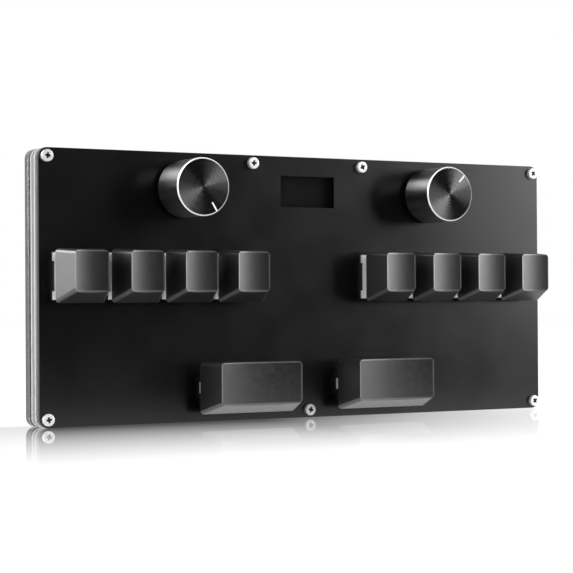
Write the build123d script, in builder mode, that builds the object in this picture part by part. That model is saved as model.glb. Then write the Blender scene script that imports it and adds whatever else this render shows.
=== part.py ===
from build123d import *

from math import asin, degrees, sqrt

# Macro keypad that stands on its long bottom edge. Millimetres, Z up, X to the right as its user
# sees it, and the front faces -Y. The origin is the middle of the bottom edge: X = 0 halfway
# along the panel, Z = 0 on the bottom edge, Y = 0 halfway through the case.
# Each height is how far something stands in front of the front panel's face.

# Case: front panel, frame and rear cover, one behind the other
panel_width = 205.0
panel_height = 92.0
corner_radius = 4.5
panel_thickness = 1.5
frame_thickness = 7.1
cover_thickness = 3.0
frame_wall = 4.0
panel_bevel = 0.15

# Screws and standoffs
screw_inset = 2.8
top_screw_spread = 44.8
screw_radius = 0.95
screw_grip = 3.0
head_radius = 2.0
head_height = 1.4
head_bevel = 0.5
standoff_flats = 3.2
lobe_radius = 3.2

# Rows, counted from the top edge or the bottom one, and columns
key_pitch = 20.0
keys_in_group = 4
key_margin = 12.5
key_drop = 42.2
wide_row = 11.7
wide_spread = 55.0
knob_drop = 12.6
knob_spread = 100.4

# Keycaps
cap_base = 17.8
cap_top_width = 12.1
cap_top_length = 13.6
cap_rise = 9.3
cap_lift = 5.3
cap_wall = 1.2
cap_roof = 2.0
cap_corner = 1.0
cap_rim = 0.25
cap_upper_lean = 0.55
dish_depth = 0.8
wide_cap_base = 37.2
wide_cap_length = 17.6
wide_cap_top_width = 31.6
wide_cap_top_length = 14.5
wide_cap_rise = 10.0
wide_upper_lean = 0.0
wide_dish_depth = 0.8
post_radius = 2.75

# Switches
key_travel = 4.0
cutout = 14.0
flange = 15.6
flange_thickness = 1.0
notch_depth = 0.7
notch_length = 9.9
cover_top = 6.6
cover_top_width = 10.4
cover_wall = 0.9
cover_roof = 1.4
mouth_width = 7.2
mouth_length = 5.8
board_depth = 5.0
base_floor = 1.0
base_wall = 1.1
pilot_radius = 1.95
pilot_length = 3.2
pilot_bore = 1.2
stem_top = 10.2
stem_skirt_width = 9.0
stem_skirt_length = 7.0
stem_skirt_height = 3.1
cross_length = 4.0
cross_thickness = 1.2
pole_radius = 0.95
pole_reach = 5.4
spring_radius = 2.3
spring_wire = 0.4
pin_width = 1.2
pin_thickness = 0.4
pin_places = [(-3.81, 2.54), (2.54, 5.08)]
pin_rise = 1.8
pin_length = 3.2

# Stabilizers of the double keys
stabilizer_reach = 11.94
stabilizer_width = 6.3
stabilizer_length = 12.2
stabilizer_rise = 2.2
stabilizer_tab = 1.0
stabilizer_tab_length = 3.8
slider_width = 4.8
slider_length = 7.6
slider_drop = 0.9
slider_rise = 6.0
wire_radius = 0.75
wire_offset = 8.3
wire_reach = 7.3
wire_bend = 1.0
hook_length = 1.7
hook_wall = 0.9

# Circuit board
board_thickness = 1.6
board_gap = 0.4
board_corner = 2.0

# Display
window_width = 22.0
window_height = 11.0
window_drop = 12.3
glass_width = 26.7
glass_height = 19.3
glass_thickness = 1.3
glass_margin = 1.6

# USB socket
usb_column = -34.0
usb_width = 8.94
usb_thickness = 3.26
usb_wall = 0.3
usb_depth = 7.3
usb_setback = 0.2
usb_slot = 11.2
tongue_width = 6.7
tongue_thickness = 0.7
tongue_length = 4.5

# Board components
chip_size = 7.0
chip_thickness = 0.9
chip_row = 33.0
diode_length = 2.7
diode_width = 1.6
diode_thickness = 1.1
diode_offset = 9.0

# Encoders
encoder_width = 11.7
encoder_length = 12.0
encoder_rise = 1.5
encoder_floor = 0.4
encoder_roof = 2.0
bushing_radius = 3.5
bushing_length = 5.0
rotor_radius = 5.0
rotor_thickness = 2.5
rotor_room = 0.3
shaft_radius = 3.0
shaft_flat = 1.5
shaft_top = 14.2
shaft_start = 4.1
press_travel = 0.5

# Knobs
knob_radius = 10.0
knob_gap = 2.0
knob_top = 16.3
knob_bevel = 0.4
knob_recess_radius = 8.9
knob_recess = 3.0
knob_roof = 1.5
insert_radius = 5.0
pointer_length = 3.45
pointer_width = 0.75
pointer_depth = 0.2
pointer_margin = 0.05
pointer_angles = [-58.0, 47.0]

# Rubber feet
foot_radius = 4.0
foot_height = 2.0
foot_inset = 10.0

# Clearances
slide_gap = 0.1
seat_gap = 0.05
press_gap = 0.02

case_thickness = panel_thickness + frame_thickness + cover_thickness
panel_front = case_thickness / 2
middle_row = panel_height / 2
frame_back = -(panel_thickness + frame_thickness)
case_back = -case_thickness
board_front = -board_depth
board_back = board_front - board_thickness

standoff_seat = standoff_flats / sqrt(3) + slide_gap

screw_columns = [panel_width / 2 - screw_inset, top_screw_spread / 2]
screw_places = [
    (side * column, panel_height - screw_inset) for column in screw_columns for side in (-1, 1)
]
screw_places += [(x, screw_inset) for x in (-screw_columns[0], 0.0, screw_columns[0])]

key_row = panel_height - key_drop
knob_row = panel_height - knob_drop
window_row = panel_height - window_drop

outer_column = panel_width / 2 - key_margin
group_columns = [outer_column - n * key_pitch for n in reversed(range(keys_in_group))]
key_places = [(-x, key_row) for x in reversed(group_columns)]
key_places += [(x, key_row) for x in group_columns]
wide_places = [(-wide_spread / 2, wide_row), (wide_spread / 2, wide_row)]
knob_places = [(-knob_spread / 2, knob_row), (knob_spread / 2, knob_row)]
switch_places = key_places + wide_places
side_names = ["left", "right"]
stabilizer_places = [
    (x + side * stabilizer_reach, z, side) for x, z in wide_places for side in (-1, 1)
]


def ahead(height):
    """The plane this far in front of the panel's face; x runs right and y runs up."""
    return Plane.XZ.offset(panel_front + height)


def export(piece, name):
    """Label a finished piece and write it to its own file."""
    piece.part.label = name
    export_step(piece.part, "parts/" + name + ".step")


def slab(height, thickness):
    """A plate with the case's outline, lying back from a height."""
    with BuildPart() as plate:
        with BuildSketch(ahead(height)):
            with Locations((0, middle_row)):
                RectangleRounded(panel_width, panel_height, corner_radius)
        extrude(amount=-thickness)
    return plate.part


def tapered_block(x, z, foot, head, foot_size, head_size, shift=0.0):
    """A block that narrows from one height to another, its far end shifted up the panel."""
    near = -(panel_front + head)
    far = -(panel_front + foot)
    foot_width, foot_length = foot_size
    head_width, head_length = head_size
    with BuildPart() as block:
        with BuildSketch(Plane.XY.offset(z)):
            with BuildLine():
                Polyline(
                    (x - foot_width / 2, far),
                    (x + foot_width / 2, far),
                    (x + head_width / 2, near),
                    (x - head_width / 2, near),
                    close=True,
                )
            make_face()
        extrude(amount=foot_length, both=True)
        with BuildSketch(Plane.YZ.offset(x)):
            with BuildLine():
                Polyline(
                    (far, z - foot_length / 2),
                    (far, z + foot_length / 2),
                    (near, z + shift + head_length / 2),
                    (near, z + shift - head_length / 2),
                    close=True,
                )
            make_face()
        extrude(amount=foot_width, both=True, mode=Mode.INTERSECT)
    return block.part


# ---------------------------------------------------------------- case
# The panel carries the switches, so each has a square hole in it. The holes for the encoders
# hide under the knobs, and the window has sharp corners.
with BuildPart() as front_panel:
    add(slab(0, panel_thickness))
    chamfer(front_panel.faces().sort_by(Axis.Y)[0].edges(), panel_bevel)
    with BuildSketch(ahead(0)):
        with Locations(*switch_places):
            Rectangle(cutout, cutout)
        with Locations(*[(x, z) for x, z, side in stabilizer_places]):
            Rectangle(stabilizer_width + 2 * seat_gap, stabilizer_length + 2 * seat_gap)
        with Locations(*knob_places):
            Rectangle(encoder_width + 2 * slide_gap, encoder_length + 2 * slide_gap)
        with Locations((0, window_row)):
            Rectangle(window_width, window_height)
        with Locations(*screw_places):
            Circle(screw_radius + seat_gap)
    extrude(amount=-panel_thickness, mode=Mode.SUBTRACT)
export(front_panel, "front_panel")

# The frame is a ring with a round lobe at each standoff and a slot for the USB socket.
with BuildPart() as case_frame:
    with BuildSketch(ahead(-panel_thickness)):
        with Locations((0, middle_row)):
            RectangleRounded(panel_width, panel_height, corner_radius)
            RectangleRounded(
                panel_width - 2 * frame_wall,
                panel_height - 2 * frame_wall,
                board_corner,
                mode=Mode.SUBTRACT,
            )
        with Locations(*screw_places):
            Circle(lobe_radius)
        with Locations((0, middle_row)):
            RectangleRounded(panel_width, panel_height, corner_radius, mode=Mode.INTERSECT)
        with Locations(*screw_places):
            Circle(standoff_seat, mode=Mode.SUBTRACT)
        with Locations((usb_column, panel_height - frame_wall / 2)):
            Rectangle(usb_slot, frame_wall, mode=Mode.SUBTRACT)
    extrude(amount=-frame_thickness)
export(case_frame, "case_frame")

with BuildPart() as rear_cover:
    add(slab(frame_back, cover_thickness))
    chamfer(rear_cover.faces().sort_by(Axis.Y)[-1].edges(), panel_bevel)
    with BuildSketch(ahead(frame_back)):
        with Locations(*screw_places):
            Circle(screw_radius + seat_gap)
    extrude(amount=-cover_thickness, mode=Mode.SUBTRACT)
export(rear_cover, "rear_cover")

with BuildPart() as standoffs:
    with BuildSketch(ahead(-panel_thickness)):
        with Locations(*screw_places):
            RegularPolygon(standoff_flats / 2, 6, major_radius=False)
            Circle(screw_radius + seat_gap, mode=Mode.SUBTRACT)
    extrude(amount=-frame_thickness)
export(standoffs, "standoffs")


def screws(face, thickness, outward):
    """Pan-head screws whose heads stand on one face of the case; outward is 1 in front."""
    with BuildPart() as row:
        with BuildSketch(ahead(face)):
            with Locations(*screw_places):
                Circle(head_radius)
        extrude(amount=outward * head_height)
        crowns = row.faces().filter_by(Axis.Y).group_by(Axis.Y)
        chamfer(crowns[0 if outward > 0 else -1].edges(), head_bevel)
        with BuildSketch(ahead(face)):
            with Locations(*screw_places):
                Circle(screw_radius)
        extrude(amount=-outward * (thickness + screw_grip))
    return row


export(screws(0, panel_thickness, 1), "front_screws")
export(screws(case_back, cover_thickness, -1), "rear_screws")

foot_column = panel_width / 2 - foot_inset
foot_places = [(x, z) for x in (-foot_column, foot_column) for z in (foot_inset, panel_height - foot_inset)]
with BuildPart() as rubber_feet:
    with BuildSketch(ahead(case_back)):
        with Locations(*foot_places):
            Circle(foot_radius)
    extrude(amount=-foot_height, taper=10)
export(rubber_feet, "rubber_feet")

# ---------------------------------------------------------------- circuit board
with BuildPart() as circuit_board:
    with BuildSketch(ahead(board_front)):
        with Locations((0, middle_row)):
            RectangleRounded(
                panel_width - 2 * (frame_wall + board_gap),
                panel_height - 2 * (frame_wall + board_gap),
                board_corner,
            )
        with Locations((usb_column, panel_height - frame_wall)):
            Rectangle(usb_slot - 2 * board_gap, 2 * (frame_wall - board_gap))
        with Locations(*screw_places):
            Circle(lobe_radius + board_gap, mode=Mode.SUBTRACT)
        with Locations(*switch_places):
            Circle(pilot_radius + slide_gap, mode=Mode.SUBTRACT)
            with Locations(*pin_places):
                Rectangle(pin_width + 2 * slide_gap, pin_thickness + 2 * slide_gap, mode=Mode.SUBTRACT)
    extrude(amount=-board_thickness)
export(circuit_board, "circuit_board")

# The glass lies on the board, its picture area right behind the window.
glass_top = window_row + window_height / 2 + glass_margin
with BuildPart() as display_glass:
    with BuildSketch(ahead(board_front)):
        with Locations((0, glass_top - glass_height / 2)):
            Rectangle(glass_width, glass_height)
    extrude(amount=glass_thickness)
export(display_glass, "display_glass")

with BuildPart() as controller_chip:
    with BuildSketch(ahead(board_back)):
        with Locations((0, chip_row)):
            Rectangle(chip_size, chip_size)
    extrude(amount=-chip_thickness)
    chamfer(controller_chip.faces().sort_by(Axis.Y)[-1].edges(), chip_thickness / 4)
export(controller_chip, "controller_chip")

# One diode beside each switch.
with BuildPart() as board_diodes:
    with BuildSketch(ahead(board_back)):
        with Locations(*[(x, z + diode_offset) for x, z in switch_places]):
            Rectangle(diode_length, diode_width)
    extrude(amount=-diode_thickness)
export(board_diodes, "board_diodes")

usb_mouth = panel_height - usb_setback
usb_height = board_front + usb_thickness / 2
usb_plane = Plane(
    origin=(usb_column, -(panel_front + usb_height), usb_mouth), x_dir=(1, 0, 0), z_dir=(0, 0, -1)
)
with BuildPart() as usb_shell:
    with BuildSketch(usb_plane):
        RectangleRounded(usb_width, usb_thickness, usb_thickness / 2 - 0.01)
    extrude(amount=usb_depth)
    with BuildSketch(usb_plane):
        RectangleRounded(
            usb_width - 2 * usb_wall,
            usb_thickness - 2 * usb_wall,
            usb_thickness / 2 - usb_wall - 0.01,
        )
    extrude(amount=usb_depth - usb_wall, mode=Mode.SUBTRACT)
export(usb_shell, "usb_socket_shell")

with BuildPart() as usb_tongue:
    with BuildSketch(usb_plane.offset(usb_depth - usb_wall)):
        Rectangle(tongue_width, tongue_thickness)
    extrude(amount=-tongue_length)
export(usb_tongue, "usb_socket_tongue")

# ---------------------------------------------------------------- switches
# Lower housings drop through the panel, rest their flange on it and stand on the board.
body_width = cutout - 2 * seat_gap
with BuildPart() as switch_bases:
    with BuildSketch(ahead(flange_thickness)):
        with Locations(*switch_places):
            Rectangle(flange, flange)
        for side in (-1, 1):
            with Locations(*[(x + side * flange / 2, z) for x, z in switch_places]):
                Rectangle(2 * notch_depth, notch_length, mode=Mode.SUBTRACT)
    extrude(amount=-flange_thickness)
    with BuildSketch(ahead(0)):
        with Locations(*switch_places):
            Rectangle(body_width, body_width)
    extrude(amount=-board_depth)
    with BuildSketch(ahead(flange_thickness)):
        with Locations(*switch_places):
            Rectangle(body_width - 2 * base_wall, body_width - 2 * base_wall)
    extrude(amount=-(flange_thickness + board_depth - base_floor), mode=Mode.SUBTRACT)
    with BuildSketch(ahead(board_front)):
        with Locations(*switch_places):
            Circle(pilot_radius)
    extrude(amount=-pilot_length)
    with BuildSketch(ahead(board_front + base_floor)):
        with Locations(*switch_places):
            Circle(pilot_bore)
    extrude(amount=-(base_floor + pilot_length - base_floor / 2), mode=Mode.SUBTRACT)
    with BuildSketch(ahead(board_front + base_floor)):
        with Locations(*switch_places):
            with Locations(*pin_places):
                Rectangle(pin_width + 2 * seat_gap, pin_thickness + 2 * seat_gap)
    extrude(amount=-base_floor, mode=Mode.SUBTRACT)
export(switch_bases, "switch_bases")

with BuildPart() as switch_pins:
    with BuildSketch(ahead(board_front + pin_rise)):
        with Locations(*switch_places):
            with Locations(*pin_places):
                Rectangle(pin_width, pin_thickness)
    extrude(amount=-(pin_rise + pin_length))
export(switch_pins, "switch_pins")


def cover_width_at(height):
    """Outer width of an upper housing, which narrows evenly from the flange to its top."""
    share = (height - flange_thickness) / (cover_top - flange_thickness)
    return cutout + (cover_top_width - cutout) * share


# Upper housings taper towards the cap and leave a mouth for the stem and the cap's post.
cover_ceiling = cover_top - cover_roof
cover_foot = cutout - 2 * cover_wall
cover_head = cover_width_at(cover_ceiling) - 2 * cover_wall
cover_sizes = [(cutout, cutout), (cover_top_width, cover_top_width)]
cover_rooms = [(cover_foot, cover_foot), (cover_head, cover_head)]
with BuildPart() as switch_covers:
    for x, z in switch_places:
        add(tapered_block(x, z, flange_thickness, cover_top, *cover_sizes))
        add(
            tapered_block(x, z, flange_thickness, cover_ceiling, *cover_rooms),
            mode=Mode.SUBTRACT,
        )
    with BuildSketch(ahead(cover_top)):
        with Locations(*switch_places):
            Rectangle(mouth_width, mouth_length)
    extrude(amount=-cover_roof, mode=Mode.SUBTRACT)
export(switch_covers, "switch_covers")

# Each spring is the sleeve that its coil fills, round the stem's pole.
skirt_top = cover_ceiling - seat_gap
skirt_bottom = skirt_top - stem_skirt_height
spring_foot = board_front + base_floor
with BuildPart() as switch_springs:
    with BuildSketch(ahead(spring_foot)):
        with Locations(*switch_places):
            Circle(spring_radius)
            Circle(spring_radius - spring_wire, mode=Mode.SUBTRACT)
    extrude(amount=skirt_bottom - spring_foot)
export(switch_springs, "switch_springs")


def stem(x, z):
    """A sliding stem: pole below, skirt inside the housing, block in its mouth, cross on top."""
    with BuildPart() as slider:
        with BuildSketch(ahead(skirt_bottom)):
            with Locations((x, z)):
                Rectangle(stem_skirt_width, stem_skirt_length)
        extrude(amount=stem_skirt_height)
        with BuildSketch(ahead(skirt_top)):
            with Locations((x, z)):
                Rectangle(mouth_width - 2 * slide_gap, mouth_length - 2 * slide_gap)
        extrude(amount=cover_top - skirt_top)
        with BuildSketch(ahead(cover_top)):
            with Locations((x, z)):
                Rectangle(cross_length, cross_thickness)
                Rectangle(cross_thickness, cross_length)
        extrude(amount=stem_top - cover_top)
        with BuildSketch(ahead(skirt_bottom)):
            with Locations((x, z)):
                Circle(pole_radius)
        extrude(amount=-pole_reach)
    return slider


# ---------------------------------------------------------------- keycaps
def keycap(x, z, base_size, top_size, rise, lean, dish, posts):
    """A hollow cap with a dished top and a cross socket in each of its posts."""
    cap_head = cap_lift + rise
    roof_height = rise - cap_roof
    roof_share = roof_height / rise
    shift = (base_size[1] - top_size[1]) / 2 - lean
    rim_room = [size - 2 * cap_wall for size in base_size]
    roof_room = [
        low + (high - low) * roof_share - 2 * cap_wall for low, high in zip(base_size, top_size)
    ]
    dish_radius = (top_size[0] / 2) ** 2 / (2 * dish) + dish / 2
    with BuildPart() as cap:
        add(tapered_block(x, z, cap_lift, cap_head, base_size, top_size, shift))
        slanted = [edge for edge in cap.edges() if abs((edge @ 1 - edge @ 0).Y) > rise / 2]
        fillet(slanted, cap_corner)
        with BuildSketch(Plane.XY.offset(z)):
            with Locations((x, -(panel_front + cap_head - dish + dish_radius))):
                Circle(dish_radius)
        extrude(amount=base_size[1], both=True, mode=Mode.SUBTRACT)
        chamfer(cap.faces().sort_by(Axis.Y)[0].edges(), cap_rim)
        add(
            tapered_block(
                x, z, cap_lift, cap_lift + roof_height, rim_room, roof_room, shift * roof_share
            ),
            mode=Mode.SUBTRACT,
        )
        with BuildSketch(ahead(cover_top)):
            with Locations(*[(x + offset, z) for offset in posts]):
                Circle(post_radius)
        extrude(amount=cap_lift + roof_height - cover_top)
        with BuildSketch(ahead(cover_top)):
            with Locations(*[(x + offset, z) for offset in posts]):
                Rectangle(cross_length + 2 * press_gap, cross_thickness + 2 * press_gap)
                Rectangle(cross_thickness + 2 * press_gap, cross_length + 2 * press_gap)
        extrude(amount=stem_top - cover_top, mode=Mode.SUBTRACT)
    return cap


cap_form = [
    (cap_base, cap_base),
    (cap_top_width, cap_top_length),
    cap_rise,
    cap_upper_lean,
    dish_depth,
]
for number, (x, z) in enumerate(key_places, start=1):
    export(stem(x, z), f"switch_stem_{number}")
    export(keycap(x, z, *cap_form, [0]), f"keycap_{number}")

wide_cap_form = [
    (wide_cap_base, wide_cap_length),
    (wide_cap_top_width, wide_cap_top_length),
    wide_cap_rise,
    wide_upper_lean,
    wide_dish_depth,
]
wide_posts = [-stabilizer_reach, 0, stabilizer_reach]
for name, (x, z) in zip(side_names, wide_places):
    export(stem(x, z), f"wide_switch_stem_{name}")
    export(keycap(x, z, *wide_cap_form, wide_posts), f"wide_keycap_{name}")

# ---------------------------------------------------------------- stabilizers
# Each housing stands on the board and comes up through the panel. Its slider is open below for
# the wire's arm, and a hook beside the arm holds the wire down on the board.
wire_height = board_front + wire_radius + 2 * seat_gap
wire_swing = degrees(asin(key_travel / wire_reach))
arm_slot = 2 * wire_radius + 4 * slide_gap
room_width = slider_width + 2 * slide_gap
room_length = slider_length + 2 * slide_gap
hook_radius = wire_radius + seat_gap
hook_top = wire_height + hook_radius + hook_wall
hook_end = wire_offset + hook_radius + hook_wall
arm_slot_top = wire_height + wire_offset - slider_length / 2

with BuildPart() as stabilizer_housings:
    with BuildSketch(ahead(stabilizer_rise)):
        with Locations(*[(x, z) for x, z, side in stabilizer_places]):
            Rectangle(stabilizer_width, stabilizer_length)
    extrude(amount=-(stabilizer_rise + board_depth))
    tab_shift = (stabilizer_width + stabilizer_tab) / 2
    with BuildSketch(ahead(0)):
        with Locations(*[(x + side * tab_shift, z) for x, z, side in stabilizer_places]):
            Rectangle(stabilizer_tab, stabilizer_tab_length)
    extrude(amount=flange_thickness)
    for x, z, side in stabilizer_places:
        hook_middle = x - side * (stabilizer_width - hook_length) / 2
        with BuildSketch(ahead(board_front)):
            with Locations((hook_middle, z + hook_end / 2)):
                Rectangle(hook_length, hook_end)
        extrude(amount=hook_top - board_front)
        with BuildSketch(Plane.YZ.offset(hook_middle)):
            with Locations((-(panel_front + wire_height), z + wire_offset)):
                Circle(hook_radius)
            with Locations((-(panel_front + (wire_height + board_front) / 2), z + wire_offset)):
                Rectangle(wire_height - board_front, 2 * hook_radius)
        extrude(amount=hook_length / 2, both=True, mode=Mode.SUBTRACT)
    with BuildSketch(ahead(stabilizer_rise)):
        with Locations(*[(x, z) for x, z, side in stabilizer_places]):
            Rectangle(room_width, room_length)
    extrude(amount=-(stabilizer_rise + board_depth), mode=Mode.SUBTRACT)
    with BuildSketch(ahead(board_front)):
        with Locations(*[(x, z + stabilizer_length / 2) for x, z, side in stabilizer_places]):
            Rectangle(arm_slot, stabilizer_length)
    extrude(amount=arm_slot_top - board_front, mode=Mode.SUBTRACT)
export(stabilizer_housings, "stabilizer_housings")


def slider_pair(x, z):
    """The two sliders of one double key, each with a cross on top and a notch for the arm."""
    places = [(x - stabilizer_reach, z), (x + stabilizer_reach, z)]
    notch = slider_length / 2 - (wire_offset - wire_reach) + wire_radius
    with BuildPart() as pair:
        with BuildSketch(ahead(-slider_drop)):
            with Locations(*places):
                Rectangle(slider_width, slider_length)
        extrude(amount=slider_drop + slider_rise)
        with BuildSketch(ahead(slider_rise)):
            with Locations(*places):
                Rectangle(cross_length, cross_thickness)
                Rectangle(cross_thickness, cross_length)
        extrude(amount=stem_top - slider_rise)
        with BuildSketch(ahead(-slider_drop)):
            with Locations(*[(px, pz + (slider_length - notch) / 2) for px, pz in places]):
                Rectangle(arm_slot, notch)
        extrude(amount=slider_drop + wire_radius + 2 * slide_gap, mode=Mode.SUBTRACT)
    return pair


def stabilizer_wire(x, z):
    """The wire of one double key, bent in two steps at each corner, its arms raised at rest."""
    pivot = (0, -(panel_front + wire_height), z + wire_offset)
    arm_plane = Plane(origin=pivot, x_dir=(1, 0, 0), z_dir=(0, -1, 0)).rotated((-wire_swing, 0, 0))
    left = x - stabilizer_reach
    right = x + stabilizer_reach
    with BuildPart() as wire:
        with BuildLine(arm_plane) as route:
            Polyline(
                (left, -wire_reach),
                (left, -wire_bend),
                (left + wire_bend, 0),
                (right - wire_bend, 0),
                (right, -wire_bend),
                (right, -wire_reach),
            )
        with BuildSketch(Plane(origin=route.line @ 0, z_dir=route.line % 0)):
            Circle(wire_radius)
        sweep(transition=Transition.RIGHT)
    return wire


for name, (x, z) in zip(side_names, wide_places):
    export(slider_pair(x, z), f"stabilizer_sliders_{name}")
    export(stabilizer_wire(x, z), f"stabilizer_wire_{name}")

# ---------------------------------------------------------------- encoders
# A case stands on the board, its bushing guides the shaft, and the rotor turns with the shaft.
chamber_floor = board_front + encoder_floor
chamber_top = encoder_rise - encoder_roof
rotor_top = chamber_top - rotor_room
bushing_top = encoder_rise + bushing_length
flat_start = bushing_top + press_travel + slide_gap
with BuildPart() as encoder_cases:
    with BuildSketch(ahead(board_front)):
        with Locations(*knob_places):
            Rectangle(encoder_width, encoder_length)
    extrude(amount=encoder_rise - board_front)
    with BuildSketch(ahead(encoder_rise)):
        with Locations(*knob_places):
            Circle(bushing_radius)
    extrude(amount=bushing_length)
    with BuildSketch(ahead(chamber_floor)):
        with Locations(*knob_places):
            Circle(rotor_radius + slide_gap)
    extrude(amount=chamber_top - chamber_floor, mode=Mode.SUBTRACT)
    with BuildSketch(ahead(chamber_top)):
        with Locations(*knob_places):
            Circle(shaft_radius + seat_gap)
    extrude(amount=encoder_roof + bushing_length, mode=Mode.SUBTRACT)
export(encoder_cases, "encoder_cases")


def d_section(x, z, angle, gap):
    """The shaft's section, a circle with a flat on the side away from the pointer."""
    turned = Location((x, z), angle)
    reach = shaft_radius + gap
    with BuildSketch() as section:
        with Locations(turned):
            Circle(reach)
            with Locations((-(shaft_flat + gap) - reach / 2, 0)):
                Rectangle(reach, 2 * reach, mode=Mode.SUBTRACT)
    return section.sketch


def on_plane(plane, sketch):
    """A sketch drawn on the ground plane, moved to where it is wanted."""
    return plane * sketch


def encoder_rotor(x, z, angle):
    """The wheel inside the case, which the shaft turns and slides through."""
    with BuildPart() as rotor:
        with BuildSketch(ahead(rotor_top)):
            with Locations((x, z)):
                Circle(rotor_radius)
        extrude(amount=-rotor_thickness)
        hole = on_plane(ahead(rotor_top), d_section(x, z, angle, seat_gap))
        extrude(hole, amount=-rotor_thickness, mode=Mode.SUBTRACT)
    return rotor


def encoder_shaft(x, z, angle):
    """The shaft: flat at both ends, for the knob above and the rotor below, round between."""
    round_start = rotor_top + press_travel + slide_gap
    with BuildPart() as shaft:
        extrude(
            on_plane(ahead(-shaft_start), d_section(x, z, angle, 0)),
            amount=shaft_start + round_start,
        )
        with BuildSketch(ahead(round_start)):
            with Locations((x, z)):
                Circle(shaft_radius)
        extrude(amount=flat_start - round_start)
        extrude(
            on_plane(ahead(flat_start), d_section(x, z, angle, 0)),
            amount=shaft_top - flat_start,
        )
    return shaft


# ---------------------------------------------------------------- knobs
knob_ceiling = knob_top - knob_roof
insert_foot = flat_start + slide_gap
pointer_middle = knob_radius - knob_bevel - pointer_margin - pointer_length / 2


def knob(x, z, angle):
    """A turned knob with a bevelled rim, hollow below, and a groove for its pointer."""
    with BuildPart() as body:
        with BuildSketch(ahead(knob_gap)):
            with Locations((x, z)):
                Circle(knob_radius)
        extrude(amount=knob_top - knob_gap)
        chamfer(body.faces().sort_by(Axis.Y)[0].edges(), knob_bevel)
        with BuildSketch(ahead(knob_gap)):
            with Locations((x, z)):
                Circle(knob_recess_radius)
        extrude(amount=knob_recess, mode=Mode.SUBTRACT)
        with BuildSketch(ahead(knob_gap)):
            with Locations((x, z)):
                Circle(insert_radius + press_gap)
        extrude(amount=knob_ceiling - knob_gap, mode=Mode.SUBTRACT)
        with BuildSketch(ahead(knob_top)):
            with Locations(Location((x, z), angle)):
                with Locations((pointer_middle, 0)):
                    Rectangle(pointer_length, pointer_width)
        extrude(amount=-pointer_depth, mode=Mode.SUBTRACT)
    return body


def knob_insert(x, z, angle):
    """The plastic bush in the knob's bore, which grips the flat of the shaft."""
    with BuildPart() as bush:
        with BuildSketch(ahead(insert_foot)):
            with Locations((x, z)):
                Circle(insert_radius)
        extrude(amount=knob_ceiling - insert_foot)
        hole = on_plane(ahead(insert_foot), d_section(x, z, angle, press_gap))
        extrude(hole, amount=knob_ceiling - insert_foot, mode=Mode.SUBTRACT)
    return bush


for name, (x, z), angle in zip(side_names, knob_places, pointer_angles):
    export(encoder_rotor(x, z, angle), f"encoder_rotor_{name}")
    export(encoder_shaft(x, z, angle), f"encoder_shaft_{name}")
    export(knob(x, z, angle), f"knob_{name}")
    export(knob_insert(x, z, angle), f"knob_insert_{name}")
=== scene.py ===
"""Looks of a macro keypad with two turning knobs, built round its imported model.

Everything is in metres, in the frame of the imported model: X runs to the user's right, Z up, and the
front of the keypad faces -Y. Each sub-assembly is a class that models its pieces with Blender's own
operators and dresses them in a finish.
"""

import logging
import math
from collections.abc import Callable, Iterable, Iterator
from contextlib import contextmanager
from dataclasses import dataclass, field
from enum import Enum
from functools import reduce
from typing import ClassVar

import bmesh
import bpy
from mathutils import Matrix, Vector


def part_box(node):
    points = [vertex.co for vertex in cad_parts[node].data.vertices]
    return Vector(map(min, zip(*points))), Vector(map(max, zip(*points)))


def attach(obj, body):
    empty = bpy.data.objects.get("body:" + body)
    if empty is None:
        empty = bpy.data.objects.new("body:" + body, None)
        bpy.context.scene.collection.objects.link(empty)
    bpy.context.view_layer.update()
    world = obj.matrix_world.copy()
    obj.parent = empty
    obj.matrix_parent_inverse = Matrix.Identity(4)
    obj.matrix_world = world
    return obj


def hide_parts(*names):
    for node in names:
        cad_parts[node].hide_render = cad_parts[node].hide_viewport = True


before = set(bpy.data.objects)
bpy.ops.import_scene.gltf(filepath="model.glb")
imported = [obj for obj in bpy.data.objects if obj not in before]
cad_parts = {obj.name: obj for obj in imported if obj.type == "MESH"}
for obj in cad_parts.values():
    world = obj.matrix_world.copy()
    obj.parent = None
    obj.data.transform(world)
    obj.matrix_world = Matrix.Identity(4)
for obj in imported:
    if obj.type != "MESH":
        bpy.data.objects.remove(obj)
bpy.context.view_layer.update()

MM = 0.001
NEAR = 0.01 * MM  # places closer than this count as the same
SQUARELY = 0.9  # a face looks along Y where its normal has more than this share of it
WHITE = (1.0, 1.0, 1.0, 1.0)
PLASTIC_IOR = 1.5
ACRYLIC_IOR = 1.49
LOG = logging.getLogger("keypad")

Colour = tuple[float, float, float]
Point = tuple[float, float, float]
Span = tuple[float, float]
Piece = bpy.types.Object
Socket = bpy.types.NodeSocket


class Side(Enum):
    """The two halves of the keypad, as its user sees them."""

    LEFT = "left"
    RIGHT = "right"


class Facing(Enum):
    """The two faces of the case that screws go into."""

    FRONT = "front"
    REAR = "rear"


class Turned(Enum):
    """The surface of a turned piece that a spun finish lies on."""

    FACE = "face"
    SIDE = "side"


class Axis(Enum):
    """The turn that lays a new cylinder along an axis."""

    Y = (math.pi / 2, 0.0, 0.0)
    Z = (0.0, 0.0, 0.0)


class Merge(Enum):
    """What a second solid does to the first."""

    CUT = "DIFFERENCE"
    JOIN = "UNION"


class Reach(Enum):
    """Whether a softbox lights the knobs alone or misses them."""

    ALONE = "INCLUDE"
    MISSED = "EXCLUDE"


class Pick(Enum):
    """What is selected in edit mode."""

    FACES = "FACE"
    EDGES = "EDGE"


def both(node: str) -> tuple[str, ...]:
    """The names of a node's left and right copies."""
    return tuple(f"{node}_{side.value}" for side in Side)


STEMS = (*(f"switch_stem_{number}" for number in range(1, 9)), *both("wide_switch_stem"))


# ------------------------ modelling by operators


def deselect() -> None:
    """Leave nothing selected."""
    bpy.ops.object.select_all(action="DESELECT")


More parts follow.
